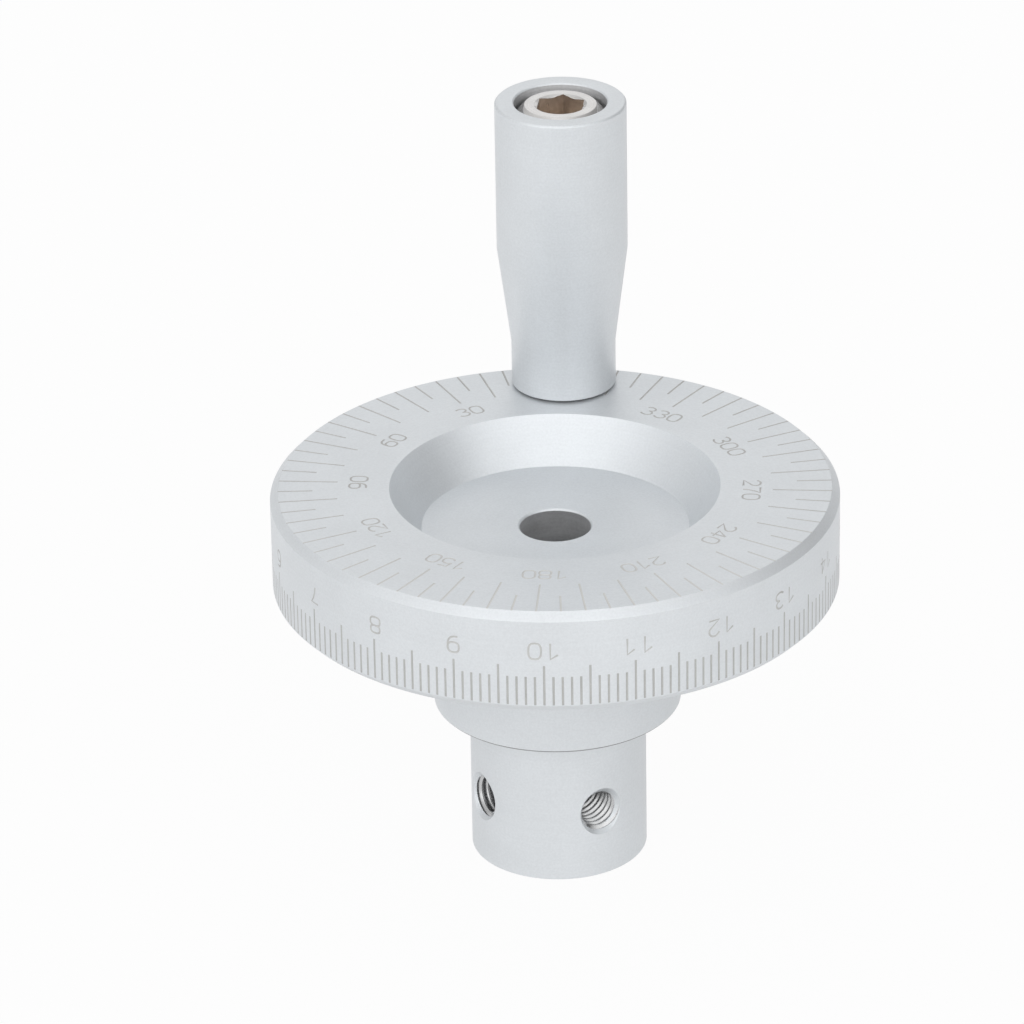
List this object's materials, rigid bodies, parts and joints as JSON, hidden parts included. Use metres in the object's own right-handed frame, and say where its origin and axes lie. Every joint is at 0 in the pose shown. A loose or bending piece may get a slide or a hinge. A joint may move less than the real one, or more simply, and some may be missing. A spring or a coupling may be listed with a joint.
{
  "type": "machine handwheel",
  "caption": "Graduated machine handwheel with a dished face, a hub bored for a shaft and a revolving grip, turned by hand to feed a slide or screw.",
  "frame": {"origin": "centre of the shaft bore at the hub's lower end face", "axes": "+Z along the shaft bore, from the hub's end to the graduated face and the grip; +Y from the bore's axis to the handle's axis; +X completes the right-handed frame"},
  "size_m": [0.0636, 0.0665, 0.08],
  "materials": {
    "wheel_aluminium": "satin, fine blasted and clear anodised",
    "grip_aluminium": "satin, fine blasted and clear anodised",
    "screw_steel": "bright stainless steel",
    "sleeve_steel": "ground",
    "bush_bronze": "dull sintered bronze",
    "washer_polymer": "matt black"
  },
  "bodies": {
    "wheel": {"wheel_body": "wheel_aluminium", "handle_screw": "screw_steel", "distance_sleeve": "sleeve_steel", "thrust_washer": "washer_polymer"},
    "grip": {"handle_grip": "grip_aluminium", "lower_bush": "bush_bronze", "upper_bush": "bush_bronze"}
  },
  "joints": [
    {"name": "grip_spin", "type": "hinge", "parent": "wheel", "child": "grip", "pos_m": [0, 0.0272, 0.04525], "axis": [0, 0, 1], "continuous": true}
  ]
}
